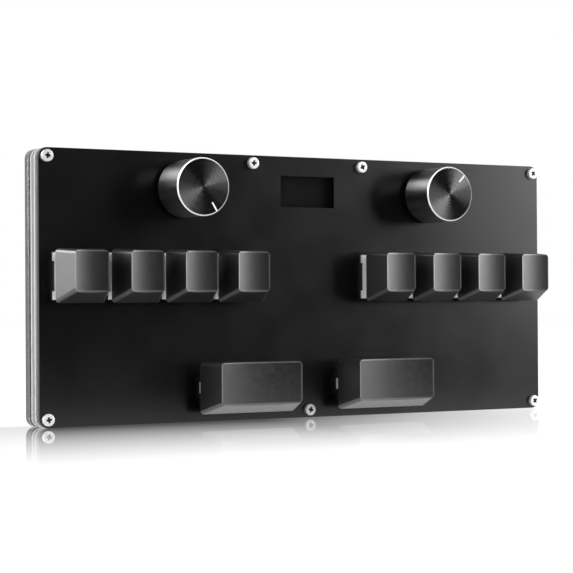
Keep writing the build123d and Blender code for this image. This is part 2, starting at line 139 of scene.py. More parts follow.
def activate(piece: Piece) -> None:
    """Select one piece alone and make it the active one.

    Args:
        piece: The piece.
    """
    deselect()
    piece.select_set(True)
    bpy.context.view_layer.objects.active = piece


def settle(piece: Piece, name: str) -> Piece:
    """Put a piece's place, turn and size into its mesh, and name it.

    Args:
        piece: The piece, anywhere.
        name: Its new name.

    Returns:
        The same piece, its object at the origin.
    """
    activate(piece)
    bpy.ops.object.transform_apply(location=True, rotation=True, scale=True)
    piece.name = name
    piece.data.name = name
    return piece


def block(centre: Point, size: Point) -> Piece:
    """Add a block as a start for a piece.

    Args:
        centre: Where its middle goes.
        size: Its lengths along X, Y and Z.

    Returns:
        The new piece.
    """
    deselect()
    bpy.ops.mesh.primitive_cube_add(size=1.0, location=centre, scale=size)
    return settle(bpy.context.object, "block")


def rod(
    centre: Point, radius: float, length: float, axis: Axis = Axis.Y, sides: int = 96
) -> Piece:
    """Add a cylinder as a start for a turned piece.

    Args:
        centre: Where its middle goes.
        radius: Its radius.
        length: Its length along the axis.
        axis: The axis that it lies along.
        sides: How many faces it has round it.

    Returns:
        The new piece.
    """
    deselect()
    bpy.ops.mesh.primitive_cylinder_add(
        vertices=sides, radius=radius, depth=length, location=centre, rotation=axis.value
    )
    return settle(bpy.context.object, "rod")


@contextmanager
def editing(piece: Piece, pick: Pick) -> Iterator[None]:
    """Hold a piece in edit mode, with nothing selected at first.

    Args:
        piece: The piece to edit.
        pick: Whether faces or edges are selected.

    Yields:
        Nothing; the piece leaves edit mode afterwards.
    """
    activate(piece)
    bpy.ops.object.mode_set(mode="EDIT")
    bpy.ops.mesh.select_mode(type=pick.value)
    bpy.ops.mesh.select_all(action="DESELECT")
    yield
    bpy.ops.object.mode_set(mode="OBJECT")


def pick_faces(piece: Piece, test: Callable[[Vector, Vector], bool]) -> None:
    """Select the faces that pass a test.

    Args:
        piece: The piece in edit mode.
        test: Takes a face's centre and its normal.
    """
    mesh = bmesh.from_edit_mesh(piece.data)
    for face in mesh.faces:
        if test(face.calc_center_median(), face.normal):
            face.select_set(True)
    bmesh.update_edit_mesh(piece.data)


def pick_back(piece: Piece) -> None:
    """Select the faces that look backwards, along +Y."""
    pick_faces(piece, lambda centre, normal: normal.y > SQUARELY)


def pick_edges(piece: Piece, test: Callable[[Vector, Vector], bool]) -> None:
    """Select the edges that pass a test.

    Args:
        piece: The piece in edit mode.
        test: Takes the places of an edge's two ends.
    """
    mesh = bmesh.from_edit_mesh(piece.data)
    for edge in mesh.edges:
        if test(edge.verts[0].co, edge.verts[1].co):
            edge.select_set(True)
    bmesh.update_edit_mesh(piece.data)


def round_where(
    piece: Piece, test: Callable[[Vector, Vector], bool], width: float, segments: int
) -> None:
    """Bevel the edges that pass a test.

    Args:
        piece: The piece.
        test: Takes the places of an edge's two ends.
        width: How far the bevel reaches from each edge.
        segments: How many faces it has across.
    """
    with editing(piece, Pick.EDGES):
        pick_edges(piece, test)
        bpy.ops.mesh.bevel(
            offset=width,
            offset_type="OFFSET",
            segments=segments,
            affect="EDGES",
            clamp_overlap=False,
        )


def resize_across(along_x: float, along_z: float, middle: Point) -> None:
    """Resize what is selected along X and Z about a point."""
    bpy.ops.transform.resize(value=(along_x, 1.0, along_z), center_override=middle)


def taper_back(piece: Piece, along_x: float, along_z: float, middle: Point) -> None:
    """Resize the back of a piece.

    Args:
        piece: The piece.
        along_x: Its back's new share along X.
        along_z: Its back's new share along Z.
        middle: The point that stays.
    """
    with editing(piece, Pick.FACES):
        pick_back(piece)
        resize_across(along_x, along_z, middle)


def extrude(depth: float) -> None:
    """Extrude the selected faces along Y."""
    bpy.ops.mesh.extrude_region_move(TRANSFORM_OT_translate={"value": (0.0, depth, 0.0)})


def score(place: Point, normal: Point) -> None:
    """Cut the edges of a plane into all faces."""
    bpy.ops.mesh.select_all(action="SELECT")
    bpy.ops.mesh.bisect(plane_co=place, plane_no=normal)


def apply(piece: Piece, kind: str, **settings: object) -> None:
    """Add a modifier and apply it at once.

    Args:
        piece: The piece that it works on.
        kind: Blender's name for the modifier.
        **settings: Its settings.
    """
    modifier = piece.modifiers.new(kind.lower(), kind)
    for key, value in settings.items():
        setattr(modifier, key, value)
    activate(piece)
    bpy.ops.object.modifier_apply(modifier=modifier.name)


def remove(piece: Piece) -> None:
    """Delete a piece that is used up."""
    bpy.data.objects.remove(piece, do_unlink=True)


def merge(piece: Piece, tool: Piece, how: Merge) -> None:
    """Cut a second solid from a piece, or join it on, and remove the second one.

    Args:
        piece: The piece that stays.
        tool: The solid that is used up.
        how: Whether it is cut away or joined.
    """
    apply(piece, "BOOLEAN", operation=how.value, solver="EXACT", object=tool)
    remove(tool)


def soften(piece: Piece, width: float, segments: int = 2, angle: float = 35.0) -> None:
    """Break a piece's sharp edges.

    Args:
        piece: The piece.
        width: How far the rounding reaches.
        segments: How many faces it has across.
        angle: Edges that turn by more than this many degrees are rounded.
    """
    settings = {"limit_method": "ANGLE", "angle_limit": math.radians(angle)}
    apply(piece, "BEVEL", width=width, segments=segments, use_clamp_overlap=True, **settings)


def shade(piece: Piece, angle: float = 30.0) -> None:
    """Shade a piece smooth between its sharp edges, its flat faces staying flat.

    Args:
        piece: The piece.
        angle: Edges that turn by more than this many degrees stay sharp.
    """
    activate(piece)
    bpy.ops.object.shade_smooth_by_angle(angle=math.radians(angle))
    apply(piece, "WEIGHTED_NORMAL", keep_sharp=True, weight=60)


def copied(
    master: Piece, name: str, place: Point, turn: float = 0.0, about: str = "Y"
) -> Piece:
    """Copy a piece with a mesh of its own.

    Args:
        master: The piece to copy.
        name: The copy's name.
        place: How far it is moved.
        turn: How far it is turned first, in degrees.
        about: The axis that it is turned about.

    Returns:
        The copy, its place in its mesh.
    """
    copy = master.copy()
    copy.data = master.data.copy()
    bpy.context.scene.collection.objects.link(copy)
    copy.matrix_world = Matrix.Translation(place) @ Matrix.Rotation(math.radians(turn), 4, about)
    return settle(copy, name)


def joined(pieces: list[Piece], name: str) -> Piece:
    """Join several pieces into one object.

    Args:
        pieces: The pieces, each with a mesh of its own.
        name: The name of the result.

    Returns:
        The one piece.
    """
    activate(pieces[0])
    for piece in pieces[1:]:
        piece.select_set(True)
    bpy.ops.object.join()
    return settle(pieces[0], name)


def centre_of(node: str) -> Vector:
    """The middle of a node's box."""
    low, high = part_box(node)
    return (low + high) / 2


def dress(piece: Piece, slot: str, *finishes: "Finish") -> None:
    """Give a piece its finishes, the first of them all over.

    Args:
        piece: The piece.
        slot: The name of the slot that the first finish belongs to; it is not used.
        *finishes: The finishes of its material slots.
    """
    piece.data.materials.clear()
    for finish in finishes:
        piece.data.materials.append(finish.material())


def mount(piece: Piece, body: str, *nodes: str) -> None:
    """Let a finished piece ride on a body and stand for nodes of the model.

    Args:
        piece: The finished piece.
        body: The body that carries it.
        *nodes: The nodes that it is shown for.
    """
    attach(piece, body)
    if nodes:
        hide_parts(*nodes)
    LOG.info("%s rides on %s, %d faces", piece.name, body, len(piece.data.polygons))


def smoothed(node: str, name: str, edge: float = 0.0) -> Piece:
    """Copy a node's mesh, close its seams and shade it smooth.

    Args:
        node: The node of the model.
        name: The copy's name.
        edge: How far its sharp edges are broken.

    Returns:
        A new piece of the node's shape.
    """
    piece = bpy.data.objects.new(name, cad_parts[node].data.copy())
    piece.data.name = name
    bpy.context.scene.collection.objects.link(piece)
    activate(piece)
    bpy.ops.mesh.customdata_custom_splitnormals_clear()
    with editing(piece, Pick.FACES):
        bpy.ops.mesh.select_all(action="SELECT")
        bpy.ops.mesh.remove_doubles(threshold=0.002 * MM)
        bpy.ops.mesh.dissolve_limited(angle_limit=math.radians(0.5))
    if edge:
        soften(piece, edge, angle=50.0)
    shade(piece)
    return piece


# ------------------------ finishes


class Nodes:
    """A node tree that is laid step by step."""

    def __init__(self, tree: bpy.types.NodeTree) -> None:
        """Take up a tree."""
        self.tree = tree

    def fill(self, node: bpy.types.Node, inputs: dict[str | int, object]) -> None:
        """Set or link the inputs of a node.

        Args:
            node: The node.
            inputs: A value or a socket for each input, by its name or number.
        """
        for key, value in inputs.items():
            if isinstance(value, Socket):
                self.tree.links.new(value, node.inputs[key])
            else:
                node.inputs[key].default_value = value

    def add(
        self, kind: str, inputs: dict[str | int, object] | None = None, **settings: object
    ) -> bpy.types.Node:
        """Add a node.

        Args:
            kind: Blender's name for the node, without ShaderNode.
            inputs: A value or a socket for each input, by its name or number.
            **settings: Its settings.

        Returns:
            The new node.
        """
        node = self.tree.nodes.new(f"ShaderNode{kind}")
        for key, value in settings.items():
            setattr(node, key, value)
        self.fill(node, inputs or {})
        return node

    def math(self, operation: str, first: Socket, second: Socket | float) -> Socket:
        """Add a step of arithmetic."""
        return self.add("Math", {0: first, 1: second}, operation=operation).outputs[0]

    def product(self, *factors: Socket | float) -> Socket:
        """Multiply values, one step after the other."""
        return reduce(lambda first, second: self.math("MULTIPLY", first, second), factors)

    def vector(self, operation: str, *inputs: Socket | Point) -> bpy.types.Node:
        """Add a step of vector arithmetic."""
        return self.add("VectorMath", dict(enumerate(inputs)), operation=operation)

    def spread(
        self,
        value: Socket,
        low: float = 0.0,
        high: float = 1.0,
        start: float = 0.3,
        end: float = 0.7,
    ) -> Socket:
        """Map a value onto a range.

        Args:
            value: The value, such as a pattern.
            low: The result at its start.
            high: The result at its end.
            start: The value that gives low.
            end: The value that gives high.

        Returns:
            The socket of the result.
        """
        ends = {"From Min": start, "From Max": end, "To Min": low, "To Max": high}
        return self.add("MapRange", {**ends, "Value": value}).outputs["Result"]

    def mix(self, share: Socket, first: Socket, second: Socket) -> Socket:
        """Mix two shaders by the share of the second."""
        return self.add("MixShader", {0: share, 1: first, 2: second}).outputs[0]


class Shader(Nodes):
    """A material's nodes, with its Principled shader ready to fill in."""

    def __init__(self, name: str) -> None:
        """Start a material.

        Args:
            name: The material's name.
        """
        self.material = bpy.data.materials.new(name)
        self.material.use_nodes = True
        super().__init__(self.material.node_tree)
        self.surface = self.tree.nodes["Principled BSDF"]
        self.place = self.add("TexCoord").outputs["Object"]

    def set(self, **values: object) -> None:
        """Set or link sockets of the Principled shader, by name with _ for a space."""
        self.fill(self.surface, {key.replace("_", " "): value for key, value in values.items()})

    def noise(self, size: float, detail: float) -> Socket:
        """Add a noise pattern.

        Args:
            size: The size of its spots, in metres.
            detail: How many finer layers it has.

        Returns:
            The socket of its value, around 0.5.
        """
        inputs = {"Scale": 1.0 / size, "Detail": detail, "Vector": self.place}
        return self.add("TexNoise", inputs).outputs["Fac"]

    def tint(self, pattern: Socket, colour: Colour, first: float, second: float) -> None:
        """Colour the surface between two shares of a colour.

        Args:
            pattern: A pattern between 0 and 1.
            colour: The colour.
            first: How much of it there is where the pattern is 0.
            second: How much of it there is where the pattern is 1.
        """
        node = self.add("Mix", {"Factor": pattern}, data_type="RGBA")
        ends = [socket for socket in node.inputs if socket.type == "RGBA"]
        for socket, share in zip(ends, (first, second)):
            socket.default_value = (*(channel * share for channel in colour), 1.0)
        self.set(Base_Color=next(socket for socket in node.outputs if socket.type == "RGBA"))

    def roughen(self, pattern: Socket, low: float, high: float) -> None:
        """Vary the roughness by a pattern between two values."""
        self.set(Roughness=self.spread(pattern, low, high))

    def bump(self, height: Socket, depth: float, strength: float) -> None:
        """Let a pattern stand up by a depth in metres, as strongly as given."""
        inputs = {"Distance": depth, "Strength": strength, "Height": height}
        self.set(Normal=self.add("Bump", inputs).outputs["Normal"])


@dataclass(frozen=True)
class Finish:
    """A finish in one colour, which each kind below lays in its own way."""

    name: str
    colour: Colour
    made: ClassVar[dict[str, bpy.types.Material]] = {}

    def lay(self, shader: Shader) -> None:
        """Lay the nodes of the finish."""
        raise NotImplementedError

    def material(self) -> bpy.types.Material:
        """Build the material once, for all that has the finish.

        Returns:
            The material.
        """
        if self.name not in self.made:
            shader = Shader(self.name)
            self.lay(shader)
            self.made[self.name] = shader.material
        return self.made[self.name]


@dataclass(frozen=True)
class MouldedPlastic(Finish):
    """Moulded plastic with the fine even texture of its tool, a little worn."""

    roughness: float
    specular: float = 0.5
    depth: float = 0.002 * MM

    def lay(self, shader: Shader) -> None:
        """Lay soft patches of wear over a fine grain.

        Args:
            shader: The material to fill in.
        """
        shader.set(Specular_IOR_Level=self.specular, IOR=PLASTIC_IOR)
        shader.tint(shader.spread(shader.noise(6 * MM, 3.0)), self.colour, 0.88, 1.1)
        shader.roughen(shader.noise(1.6 * MM, 4.0), self.roughness - 0.03, self.roughness + 0.04)
        shader.bump(shader.noise(0.12 * MM, 1.0), self.depth, 0.5)


@dataclass(frozen=True)
class BlastedSheet(Finish):
    """Black sheet, blasted fine before it was coated."""

    roughness: float

    def lay(self, shader: Shader) -> None:
        """Lay fine specks under clouds of gloss.

        Args:
            shader: The material to fill in.
        """
        shader.set(Specular_IOR_Level=0.5, IOR=PLASTIC_IOR)
        specks = shader.noise(0.45 * MM, 3.0)
        shader.tint(shader.spread(specks), self.colour, 0.7, 1.35)
        shader.roughen(shader.noise(14 * MM, 2.0), self.roughness - 0.02, self.roughness + 0.03)
        shader.bump(specks, 0.004 * MM, 0.5)


@dataclass(frozen=True)
class ClearSheet(Finish):
    """Clear cast sheet with polished edges."""

    roughness: float = 0.03
    clearness: float = 1.0

    def lay(self, shader: Shader) -> None:
        """Lay faint polishing marks.

        Args:
            shader: The material to fill in.
        """
        shader.set(Transmission_Weight=self.clearness, IOR=ACRYLIC_IOR)
        shader.set(Base_Color=(*self.colour, 1.0))
        shader.roughen(shader.noise(3 * MM, 3.0), self.roughness * 0.6, self.roughness * 1.6)
        shader.bump(shader.noise(0.9 * MM, 2.0), 0.002 * MM, 0.2)


@dataclass(frozen=True)
class PlatedMetal(Finish):
    """Bright plated or bare metal with a fine irregular grain."""

    roughness: float = 0.3
    metallic: float = 1.0
    grain: float = 0.25 * MM

    def lay(self, shader: Shader) -> None:
        """Lay dull patches over the grain.

        Args:
            shader: The material to fill in.
        """
        shader.set(Metallic=self.metallic)
        shader.tint(shader.spread(shader.noise(2.2 * MM, 3.0)), self.colour, 0.85, 1.0)
        shader.roughen(shader.noise(self.grain, 3.0), self.roughness - 0.06, self.roughness + 0.08)
        shader.bump(shader.noise(self.grain, 2.0), 0.004 * MM, 0.3)


@dataclass(frozen=True)
class SpunMetal(Finish):
    """Turned metal whose fine rings run round an axis along Y."""

    centre: Point = (0.0, 0.0, 0.0)
    surface: Turned = Turned.FACE
    roughness: float = 0.25
    ring_width: float = 0.2 * MM

    def lay(self, shader: Shader) -> None:
        """Lay the rings, and spread the light across them.

        It spreads outwards from the axis on the face, and along the axis on the side.

        Args:
            shader: The material to fill in.
        """
        shader.set(Metallic=1.0, Anisotropic=1.0)
        offset = shader.vector("SUBTRACT", shader.place, self.centre).outputs[0]
        outward = shader.vector("MULTIPLY", offset, (1.0, 0.0, 1.0)).outputs[0]
        across = outward
        if self.surface is Turned.SIDE:
            ring = shader.vector("CROSS_PRODUCT", outward, (0.0, 1.0, 0.0)).outputs[0]
            across = shader.vector("CROSS_PRODUCT", outward, ring).outputs[0]
        shader.set(Tangent=shader.vector("NORMALIZE", across).outputs[0])
        distance = shader.vector("LENGTH", offset).outputs["Value"]
        inputs = {"Scale": 1.0 / self.ring_width, "Detail": 2.0, "W": distance}
        rings = shader.add("TexNoise", inputs, noise_dimensions="1D").outputs["Fac"]
        shader.tint(shader.spread(rings), self.colour, 0.9, 1.1)
        shader.roughen(rings, self.roughness - 0.02, self.roughness + 0.03)


@dataclass(frozen=True)
class DarkGlass(Finish):
    """The polished cover glass of a small display that is switched off."""

    def lay(self, shader: Shader) -> None:
        """Lay a faint haze under the polish.

        Args:
            shader: The material to fill in.
        """
        shader.set(Specular_IOR_Level=0.5, IOR=PLASTIC_IOR, Coat_Weight=0.3, Coat_Roughness=0.03)
        haze = shader.noise(4 * MM, 3.0)
        shader.tint(shader.spread(haze), self.colour, 0.9, 1.1)
        shader.roughen(haze, 0.06, 0.12)


@dataclass(frozen=True)
class Laminate(Finish):
    """A circuit board's lacquer, with traces that stand up under it."""

    trace_length: float = 9.0 * MM
    trace_pitch: float = 1.4 * MM
    trace_gap: float = 0.16 * MM

    def lay(self, shader: Shader) -> None:
        """Lay the traces and the lacquer's sheen.

        Args:
            shader: The material to fill in.
        """
        shader.set(Specular_IOR_Level=0.5, IOR=PLASTIC_IOR)
        upright = (math.pi / 2, 0.0, 0.0)
        board = shader.add("Mapping", {"Rotation": upright, "Vector": shader.place}).outputs[0]
        sizes = {"Brick Width": self.trace_length, "Row Height": self.trace_pitch}
        sizes |= {"Mortar Size": self.trace_gap, "Scale": 1.0, "Vector": board}
        traces = shader.add("TexBrick", sizes).outputs["Fac"]
        shader.tint(traces, self.colour, 1.0, 2.2)
        shader.roughen(shader.noise(1.2 * MM, 2.0), 0.28, 0.42)
        shader.bump(traces, 0.03 * MM, 0.6)


@dataclass(frozen=True)
class Rubber(Finish):
    """Matt rubber with dust in its pores."""

    def lay(self, shader: Shader) -> None:
        """Lay the pores and their dust.

        Args:
            shader: The material to fill in.
        """
        shader.set(Specular_IOR_Level=0.3, IOR=PLASTIC_IOR)
        pores = shader.noise(0.3 * MM, 3.0)
        shader.tint(shader.spread(pores), self.colour, 1.0, 1.8)
        shader.roughen(shader.noise(2.0 * MM, 3.0), 0.7, 0.9)
        shader.bump(pores, 0.02 * MM, 0.6)


CAP_BLACK = MouldedPlastic("cap_black", (0.006, 0.006, 0.0063), 0.43, 1.0, 0.0006 * MM)
WIDE_CAP_BLACK = MouldedPlastic("wide_cap_black", (0.006, 0.006, 0.0063), 0.31, 1.0, 0.0005 * MM)
# Lighter colours on the keycaps' dish border and slanted corners: painted highlights, not a colour of
# the plastic.
CAP_RIM_HIGHLIGHT = MouldedPlastic("cap_rim_painted_highlight", (0.085, 0.085, 0.087), 0.3, 1.0, 0.0004 * MM)
CAP_CORNER_HIGHLIGHT = MouldedPlastic("cap_corner_painted_highlight", (0.04, 0.04, 0.041), 0.33, 1.0, 0.0004 * MM)
STEM_DARK = MouldedPlastic("stem_dark", (0.035, 0.035, 0.04), 0.4)
SWITCH_WHITE = MouldedPlastic("switch_white", (0.94, 0.94, 0.93), 0.4)
CHIP_BLACK = MouldedPlastic("chip_black", (0.015, 0.015, 0.016), 0.6)
INLAY_WHITE = MouldedPlastic("inlay_white", (0.85, 0.85, 0.84), 0.5)
PANEL_BLACK = BlastedSheet("panel_black", (0.003, 0.003, 0.0032), 0.24)
CLEAR = ClearSheet("clear_sheet", (0.96, 0.97, 0.97))
# Bands on the clear sheets' edges by depth: a bright band of painted light, grey bands of painted
# shade and a near-black band of painted shade at the seams between layers, for light the clear sheet
# bends and reflects.
FRAME_LIT_BAND = ClearSheet("frame_edge_painted_light", (0.94, 0.95, 0.95), 0.15, 0.6)
FRAME_SHADED_BAND = ClearSheet("frame_core_painted_shade", (0.24, 0.245, 0.245), 0.15, 0.6)
COVER_SHADED_BAND = ClearSheet("cover_edge_painted_shade", (0.15, 0.155, 0.155), 0.15, 0.6)
SEAM_SHADE_BAND = ClearSheet("seam_painted_shade", (0.004, 0.004, 0.004), 0.6, 0.0)
SCREW_STEEL = PlatedMetal("screw_steel", (0.84, 0.84, 0.85), 0.42, 0.4)
# Dark colour in the screws' cross recesses: painted shade, not a colour of the steel.
SCREW_RECESS_SHADE = PlatedMetal("screw_recess_painted_shade", (0.06, 0.06, 0.062), 0.5, 0.4)
WIRE_STEEL = PlatedMetal("wire_steel", (0.55, 0.55, 0.56), 0.25)
SOCKET_STEEL = PlatedMetal("socket_steel", (0.6, 0.6, 0.62), 0.32)
PIN_GOLD = PlatedMetal("pin_gold", (0.78, 0.6, 0.3))
SOLDER = PlatedMetal("solder", (0.7, 0.7, 0.7), 0.22)
CUT_RIM = PlatedMetal("cut_rim", (0.95, 0.95, 0.96), 0.35, 0.35)
GLASS_DARK = DarkGlass("glass_dark", (0.01, 0.01, 0.011))
BOARD_BLACK = Laminate("board_black", (0.008, 0.008, 0.009))
FOOT_RUBBER = Rubber("foot_rubber", (0.02, 0.02, 0.02))


# ------------------------ keycaps


@dataclass
class Keycap:
    """One shape of keycap, modelled once and copied onto its keys."""

    base: Span
    top: Span
    rise: float
    shift: float
    dish: float
    posts: tuple[float, ...]
    dish_sides: int = 256
    roller: float = 60 * MM
    wall: float = 1.2 * MM
    roof: float = 2.0 * MM
    corner: float = 1.25 * MM
    inner_corner: float = 0.6 * MM
    rim: float = 0.42 * MM
    # Width of the dish's border that gets a painted highlight.
    highlight_band: float = 0.42 * MM
    post_radius: float = 2.75 * MM
    post_drop: float = 1.3 * MM
    post_root: float = 0.4 * MM
    socket: Span = (4.04 * MM, 1.24 * MM)
    socket_depth: float = 3.6 * MM
    overcut: float = 0.1 * MM
    top_lean: float = 0.45
    corner_lean: float = 0.25
    master: Piece | None = field(default=None, repr=False)

    def tapered(self, foot: Span, head: Span, rise: float, shift: float) -> Piece:
        """Model a block that narrows towards the user from its open side at Y = 0.

        Args:
            foot: Its width and length at Y = 0.
            head: Its width and length at its far end.
            rise: How far it reaches.
            shift: How far up its far end is moved.

        Returns:
            The block.
        """
        piece = block((0.0, -rise / 2, 0.0), (foot[0], rise, foot[1]))
        with editing(piece, Pick.FACES):
            pick_faces(piece, lambda centre, normal: normal.y < -SQUARELY)
            resize_across(head[0] / foot[0], head[1] / foot[1], (0.0, -rise, 0.0))
            bpy.ops.transform.translate(value=(0.0, 0.0, shift))
        return piece

    def round_corners(self, piece: Piece, width: float, segments: int) -> None:
        """Round the four edges that run from the open side to the top.

        Args:
            piece: A tapered block.
            width: The size of the rounding.
            segments: How many faces it has across.
        """
        round_where(piece, lambda a, b: abs(a.y - b.y) > self.rise / 3, width, segments)

    def shell(self) -> Piece:
        """Model the outside, dish it and round its rims.

        Returns:
            The outside as a solid.
        """
        piece = self.tapered(self.base, self.top, self.rise, self.shift)
        self.round_corners(piece, self.corner, 8)
        radius = (self.top[0] / 2) ** 2 / (2 * self.dish) + self.dish / 2
        middle = (0.0, -(self.rise - self.dish + radius), 0.0)
        merge(piece, rod(middle, radius, self.roller, Axis.Z, self.dish_sides), Merge.CUT)
        soften(piece, self.rim, segments=3)
        # Score the border of the dish that gets a painted highlight.
        half, reach = self.border()
        with editing(piece, Pick.FACES):
            for side in (-1, 1):
                score((side * half, 0.0, 0.0), (1.0, 0.0, 0.0))
            for side in (-1, 1):
                score((0.0, 0.0, self.shift + side * reach), (0.0, 0.0, 1.0))
        return piece

    def border(self) -> Span:
        """How far the dish reaches from its middle, along X and Z, inside the border that gets a
        painted highlight.
        """
        return self.top[0] / 2 - self.highlight_band, self.top[1] / 2 - self.highlight_band

    def hollow(self, piece: Piece) -> None:
        """Take out the room inside and set the posts with their cross sockets.

        Args:
            piece: The cap's outside.
        """
        depth = self.rise - self.roof
        share = depth / self.rise
        foot = tuple(size - 2 * self.wall for size in self.base)
        head = tuple(
            low + (high - low) * share - 2 * self.wall for low, high in zip(self.base, self.top)
        )
        room = self.tapered(foot, head, depth, self.shift * share)
        self.round_corners(room, self.inner_corner, 3)
        merge(piece, room, Merge.CUT)
        length = depth - self.post_drop + self.post_root
        middle = -(self.post_drop + length / 2)
        for x in self.posts:
            post = rod((x, middle, 0.0), self.post_radius, length, sides=40)
            merge(piece, post, Merge.JOIN)
        middle = -(self.post_drop + self.socket_depth / 2 - self.overcut)
        height = self.socket_depth + 2 * self.overcut
        long_side, short_side = self.socket
        for x in self.posts:
            for size in ((long_side, height, short_side), (short_side, height, long_side)):
                merge(piece, block((x, middle, 0.0), size), Merge.CUT)

    def model(self) -> None:
        """Model the master at the origin, its open side at Y = 0, with room for three finishes."""
        self.master = self.shell()
        self.hollow(self.master)
        shade(self.master)
        for _ in range(3):
            self.master.data.materials.append(None)
        self.mark_edges()

    def mark_edges(self) -> None:
        """Set apart the dish's border and the four slanted corners, which get painted highlights."""
        half, reach = self.border()
        for polygon in self.master.data.polygons:
            normal, centre = polygon.normal, polygon.center
            on_top = normal.y < -self.top_lean and centre.y < self.dish - self.rise
            highlight_band = abs(centre.x) > half or abs(centre.z - self.shift) > reach
            outside = normal.x * centre.x + normal.z * (centre.z - self.shift / 2) > 0
            corner = min(abs(normal.x), abs(normal.z)) > self.corner_lean and outside
            # Index 1 is the painted highlight on the dish's border, index 2 the fainter painted
            # highlight on the slanted corners.
            polygon.material_index = 1 if on_top and highlight_band else 2 if corner else 0

    def fit(self, node: str, body: str, finish: Finish) -> None:
        """Put a copy on a key.

        Args:
            node: The cap's node in the model.
            body: The key's body.
            finish: The finish of its faces, inside the dish's border and the corners, which get
                painted highlights.
        """
        low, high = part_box(node)
        place = ((low.x + high.x) / 2, high.y, (low.z + high.z) / 2)
        cap = copied(self.master, f"{node}_cap", place)
        marks = [polygon.material_index for polygon in cap.data.polygons]
        dress(cap, "cap_black", finish, CAP_RIM_HIGHLIGHT, CAP_CORNER_HIGHLIGHT)
        cap.data.polygons.foreach_set("material_index", marks)
        mount(cap, body, node)


@dataclass
class Keys:
    """The eight keys in a row and the two double keys below them."""

    count: int = 8
    single: Keycap = field(
        default_factory=lambda: Keycap(
            base=(17.8 * MM, 17.8 * MM),
            top=(12.1 * MM, 13.45 * MM),
            rise=9.3 * MM,
            shift=1.48 * MM,
            dish=0.8 * MM,
            posts=(0.0,),
        )
    )
    double: Keycap = field(
        default_factory=lambda: Keycap(
            base=(37.2 * MM, 17.6 * MM),
            top=(31.5 * MM, 14.3 * MM),
            rise=10.0 * MM,
            shift=1.62 * MM,
            dish=1.15 * MM,
            posts=(-11.94 * MM, 0.0, 11.94 * MM),
            dish_sides=1200,
        )
    )

    def build(self) -> None:
        """Model both caps and fit them to the keys."""
        self.single.model()
        for number in range(1, self.count + 1):
            self.single.fit(f"keycap_{number}", f"key_{number}", CAP_BLACK)
        self.double.model()
        for node, body in zip(both("wide_keycap"), both("wide_key")):
            self.double.fit(node, body, WIDE_CAP_BLACK)
        remove(self.single.master)
        remove(self.double.master)


# ------------------------ knobs


@dataclass
class Knobs:
    """The two turned knobs, each with a cut rim and an inlaid pointer."""

    radius: float = 9.8 * MM
    sides: int = 160
    rim: float = 0.4 * MM
    rim_reach: float = 0.05 * MM
    broken_edge: float = 0.07 * MM
    recess_wall: float = 1.1 * MM
    recess: float = 3.0 * MM
    bore_radius: float = 5.02 * MM
    roof: float = 1.5 * MM
    pointer: Span = (6.1 * MM, 9.4 * MM)
    pointer_width: float = 0.62 * MM
    pointer_depth: float = 0.2 * MM
    pointer_gap: float = 0.01 * MM
    pointer_sink: float = 0.02 * MM
    pointer_edge: float = 0.03 * MM
    angles: dict[Side, float] = field(default_factory=lambda: {Side.LEFT: -58.0, Side.RIGHT: 47.0})
    colour: Colour = (0.12, 0.12, 0.122)
    side_roughness: float = 0.33

    def turned(self, centre: Vector, front: float, back: float) -> Piece:
        """Turn the knob's body, with its cut rim, its recess and its bore.

        Args:
            centre: A point on its axis.
            front: Where its top is along Y.
            back: Where its foot is along Y.

        Returns:
            The body.
        """
        length = back - front
        middle = (centre.x, (front + back) / 2, centre.z)
        piece = rod(middle, self.radius, length, sides=self.sides)
        round_where(piece, lambda a, b: max(a.y, b.y) < front + NEAR, self.rim, 1)
        with editing(piece, Pick.FACES):
            pick_back(piece)
            bpy.ops.mesh.inset(thickness=self.recess_wall)
            extrude(-self.recess)
            bpy.ops.mesh.inset(thickness=self.radius - self.recess_wall - self.bore_radius)
            extrude(-(length - self.recess - self.roof))
        soften(piece, self.broken_edge)
        return piece

    def inlay(self, centre: Vector, top: float, side: Side, spare: float) -> Piece:
        """Model a thin block where a pointer lies.

        Args:
            centre: A point on the knob's axis.
            top: Where the block's near face is along Y.
            side: Which knob it is for.
            spare: How much smaller it is all round than the groove.

        Returns:
            The block.
        """
        start, end = self.pointer
        size = (end - start - 2 * spare, self.pointer_depth, self.pointer_width - 2 * spare)
        piece = block(((start + end) / 2, 0.0, 0.0), size)
        turn = Matrix.Rotation(-math.radians(self.angles[side]), 4, "Y")
        place = (centre.x, top + self.pointer_depth / 2, centre.z)
        piece.matrix_world = Matrix.Translation(place) @ turn
        return settle(piece, f"pointer_{side.value}")

    def mark_faces(self, knob: Piece, centre: Vector, front: float) -> None:
        """Set the spun face and the cut rim of a knob apart.

        Args:
            knob: The knob's body.
            centre: A point on its axis.
            front: Where its top is along Y.
        """
        rim_start = self.radius - self.rim - self.rim_reach
        for polygon in knob.data.polygons:
            middle = polygon.center
            if middle.y < front + self.rim:
                distance = math.hypot(middle.x - centre.x, middle.z - centre.z)
                if polygon.normal.y < -0.95:
                    polygon.material_index = 1
                elif distance > rim_start:
                    polygon.material_index = 2

    def build(self) -> None:
        """Model both knobs and their pointers."""
        for side in Side:
            node = f"knob_{side.value}"
            low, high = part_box(node)
            centre = centre_of(node)
            knob = self.turned(centre, low.y, high.y)
            merge(knob, self.inlay(centre, low.y - NEAR, side, 0.0), Merge.CUT)
            shade(knob, 25.0)
            colour, axis = self.colour, tuple(centre)
            face = SpunMetal(f"spun_face_{side.value}", colour, axis)
            wall = SpunMetal(
                f"spun_side_{side.value}", colour, axis, Turned.SIDE, self.side_roughness
            )
            dress(knob, "knob_black", wall, face, CUT_RIM)
            self.mark_faces(knob, centre, low.y)
            knob.name = f"{node}_body"
            mount(knob, node, node)
            bar = self.inlay(centre, low.y + self.pointer_sink, side, self.pointer_gap)
            soften(bar, self.pointer_edge)
            dress(bar, "switch_white", INLAY_WHITE)
            mount(bar, node)


# ------------------------ case


